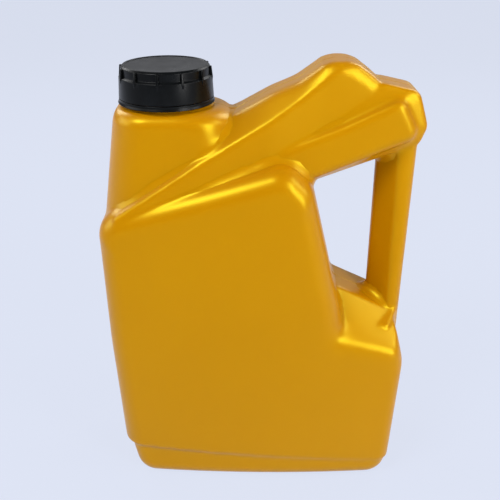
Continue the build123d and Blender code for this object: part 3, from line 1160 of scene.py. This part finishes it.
@dataclass
class TamperRing:
    """The ring that stays on the neck, with the stubs of its broken bridges."""

    wall: float = 2.4 * MM
    hook: float = 1.0 * MM
    hook_top: float = 277.5 * MM
    lip: float = 1.6 * MM
    upper_radius: float = 30.9 * MM
    arc_steps: int = 4
    stub_count: int = 16
    stub_phase: float = 0.1
    stub_size: tuple[float, float, float] = (0.5 * MM, 1.1 * MM, 0.3 * MM)
    stub_bevel: float = 0.08 * MM

    def _stub(self, height: float) -> bpy.types.Mesh:
        """Shape one stub.

        Args:
            height: Its height.

        Returns:
            Its mesh, on the +X side of an axis at the origin.
        """
        form = bmesh.new()
        place = Matrix.Translation((self.upper_radius - self.stub_size[0], 0, height))
        bmesh.ops.create_cube(form, size=1, matrix=place @ Matrix.Diagonal((*self.stub_size, 1)))
        return bevelled(form, self.stub_bevel, "stub")

    def build(self, plastic: bpy.types.Material, rounds: NodeTree) -> list[bpy.types.Object]:
        """Build the ring and dress it.

        Args:
            plastic: The ring's material.
            rounds: The tree that repeats the stubs.

        Returns:
            The ring's pieces.
        """
        low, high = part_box("tamper_ring")
        axis_x = neck_axis()
        reach = (high.y - low.y) / 2
        bore = reach - self.wall
        corners = [
            (bore - self.hook, low.z, 0.2 * MM),
            (reach, low.z, 0.25 * MM),
            (self.upper_radius, low.z + self.lip, 0.8 * MM),
            (self.upper_radius, high.z, 0.3 * MM),
            (bore, high.z, 0.2 * MM),
            (bore, self.hook_top, 0),
            (bore - self.hook, self.hook_top, 0.2 * MM),
        ]
        turned = lathe("tamper_ring_turned", rounded(corners, self.arc_steps), axis_x)
        ring = new_object("tamper_ring_turned", turned)
        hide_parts("tamper_ring")
        values = {
            "Count": self.stub_count,
            "Phase": self.stub_phase,
            "Centre": (axis_x, 0.0, 0.0),
            "Material": plastic,
        }
        stubs = rounds.grown("tamper_ring_stubs", self._stub(high.z), values)
        return [dress(piece, plastic, Body.BOTTLE) for piece in (ring, stubs)]


@dataclass
class SealingLiner:
    """The foam disc that seals the rim."""

    edge_round: float = 0.25 * MM
    arc_steps: int = 3
    segments: int = 96

    def build(self, foam: bpy.types.Material) -> bpy.types.Object:
        """Build the liner and dress it.

        Args:
            foam: Its material.

        Returns:
            The liner.
        """
        low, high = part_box("sealing_liner")
        radius = (high.x - low.x) / 2
        corners = [
            (0, low.z, 0),
            (radius, low.z, self.edge_round),
            (radius, high.z, self.edge_round),
            (0, high.z, 0),
        ]
        turned = lathe("liner_disc", rounded(corners, self.arc_steps), neck_axis(), self.segments)
        disc = new_object("liner_disc", turned)
        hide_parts("sealing_liner")
        return dress(disc, foam, Body.LINER)


@dataclass
class PartingLine:
    """The fine raised line that the mould's halves leave on the plane Y = 0."""

    radius: float = 0.22 * MM
    sunk: float = 0.1 * MM
    spacing: float = 2.5 * MM
    sides: int = 8
    base_clear: float = 0.6 * MM

    def _depth(self, place: Vector) -> float:
        """Work out how deep the bead's middle lies.

        Args:
            place: A place on the parting line.

        Returns:
            The depth, with the bead fully under the skin at the base and the box's sides.
        """
        low, high = cad_box
        past_end = not low.x + self.radius <= place.x <= high.x - self.radius
        past_level = not self.base_clear <= place.z <= high.z - self.radius
        return self.radius if past_end or past_level else self.sunk

    def build(
        self, shell: bpy.types.Object, plastic: bpy.types.Material, beads: NodeTree
    ) -> bpy.types.Object:
        """Build the line and dress it.

        Args:
            shell: The dressed shell that the line follows.
            plastic: The line's material.
            beads: The tree that lays the bead.

        Returns:
            The line.
        """
        form = bmesh.new()
        form.from_mesh(shell.data)
        everything = form.verts[:] + form.edges[:] + form.faces[:]
        cut = bmesh.ops.bisect_plane(
            form, geom=everything, dist=ON_PLANE, plane_co=(0, 0, 0), plane_no=(0, 1, 0)
        )
        path = {edge for edge in cut["geom_cut"] if isinstance(edge, bmesh.types.BMEdge)}
        form.normal_update()
        inwards = {v: -v.normal * self._depth(v.co) for edge in path for v in edge.verts}
        for vertex, move in inwards.items():
            vertex.co += move
        bmesh.ops.delete(form, geom=[edge for edge in form.edges if edge not in path], context="EDGES")
        values = {"Spacing": self.spacing, "Radius": self.radius, "Sides": self.sides, "Material": plastic}
        line = beads.grown("parting_line", mesh_from(form, "parting_path"), values)
        return dress(line, plastic, Body.BOTTLE)


@dataclass(frozen=True)
class Lamp:
    """A soft box: where it stands, what it faces, how large and how strong it is."""

    name: str
    place: tuple[float, float, float]
    size: tuple[float, float]
    watts: float
    aim: tuple[float, float, float] = (0.0, 0.0, 0.15)

    def light(self) -> None:
        """Put the lamp in the scene."""
        lamp = bpy.data.lights.new(self.name, "AREA")
        lamp.shape = "RECTANGLE"
        lamp.size, lamp.size_y = self.size
        lamp.energy = self.watts
        thing = bpy.data.objects.new(self.name, lamp)
        thing.location = self.place
        direction = Vector(self.aim) - Vector(self.place)
        thing.rotation_euler = direction.to_track_quat("-Z", "Y").to_euler()
        bpy.context.scene.collection.objects.link(thing)


@dataclass(frozen=True)
class Studio:
    """The pale studio: floor, backdrop colour, lamps and the camera at the photograph's angle."""

    backdrop: Colour = srgb(220, 226, 242)
    floor_size: float = 8.0
    shadow_share: float = 0.06
    world_strength: float = 0.24
    lens: float = 54.0
    pitch: float = math.radians(25.3)
    camera_place: tuple[float, float, float] = (-0.007316, -0.4865, 0.3977)
    lamps: tuple[Lamp, ...] = (
        Lamp("front_left_box", (-0.6, -0.66, 1.18), (0.55, 0.45), 12.0),
        Lamp("right_box", (0.86, -0.86, 0.58), (0.4, 0.8), 12.0),
        Lamp("right_high_box", (1.08, -0.22, 0.9), (0.4, 0.6), 4.5),
        Lamp("left_box", (-1.1, -0.1, 0.65), (0.8, 0.6), 4.5),
        Lamp("back_box", (0.0, 1.3, 0.6), (1.4, 0.5), 0.8, (0.0, 0.0, 0.2)),
        Lamp("back_left_box", (-0.8, 0.85, 0.95), (0.6, 0.6), 5.0),
        Lamp("back_right_box", (0.8, 0.85, 0.95), (0.6, 0.6), 5.0),
    )

    def _floor(self) -> None:
        """Lay the pale floor, which glows in the backdrop's colour where it is seen or mirrored."""
        half = self.floor_size / 2
        points = [(-half, -half, 0), (half, -half, 0), (half, half, 0), (-half, half, 0)]
        floor = new_object("studio_floor", mesh_from(form_of(points, [(0, 1, 2, 3)]), "studio_floor"))
        recipe = Recipe("pale_floor")
        glow = recipe.node("ShaderNodeEmission", inputs={"Color": self.backdrop})
        matt = recipe.node("ShaderNodeBsdfDiffuse", inputs={"Color": self.backdrop})
        seen = recipe.ray_is(Ray.CAMERA, Ray.GLOSSY, Ray.TRANSMISSION).above(0.0, 1.0)
        inputs = {0: seen * (1 - self.shadow_share), 1: matt.outputs[0], 2: glow.outputs[0]}
        mix = recipe.node("ShaderNodeMixShader", inputs=inputs)
        floor.data.materials.append(recipe.surfaced(mix.outputs[0]))

    def _world(self) -> None:
        """Give the world the backdrop's colour for the eye and a soft even light for the object."""
        world = bpy.data.worlds.new("studio_world")
        world.use_nodes = True
        bpy.context.scene.world = world
        graph = Graph(world.node_tree)
        graph.tree.nodes.clear()
        look = {"Color": self.backdrop, "Strength": 1.0}
        seen = graph.node("ShaderNodeBackground", inputs=look).outputs[0]
        soft = graph.node("ShaderNodeBackground", inputs=look | {"Strength": self.world_strength}).outputs[0]
        inputs = {0: graph.ray_is(Ray.CAMERA, Ray.TRANSMISSION), 1: soft, 2: seen}
        mix = graph.node("ShaderNodeMixShader", inputs=inputs)
        graph.node("ShaderNodeOutputWorld", inputs={"Surface": mix.outputs[0]})

    def _camera(self) -> None:
        """Stand the camera at the photograph's viewing angle."""
        lens = bpy.data.cameras.new("photo_camera")
        lens.lens = self.lens
        camera = bpy.data.objects.new("photo_camera", lens)
        camera.location = self.camera_place
        camera.rotation_euler = (math.pi / 2 - self.pitch, 0, 0)
        bpy.context.scene.collection.objects.link(camera)
        bpy.context.scene.camera = camera

    def build(self) -> None:
        """Set up the floor, the world, the lamps and the camera."""
        self._floor()
        self._world()
        for lamp in self.lamps:
            lamp.light()
        self._camera()
        bpy.context.scene.view_settings.view_transform = "Standard"


def main() -> None:
    """Build the studio and every piece in order."""
    logging.basicConfig(level=logging.INFO, format="%(name)s: %(message)s")
    Studio().build()
    yellow, black, foam = ShellPlastic().material(), ClosurePlastic().material(), LinerFoam().material()
    rounds, beads = round_tree(), bead_tree()
    shell = BottleShell().build(yellow)
    PartingLine().build(shell, yellow, beads)
    NeckFinish().build(yellow)
    TamperRing().build(black, rounds)
    SealingLiner().build(foam)
    ScrewCap().build(black, rounds)


if __name__ == "__main__":
    main()
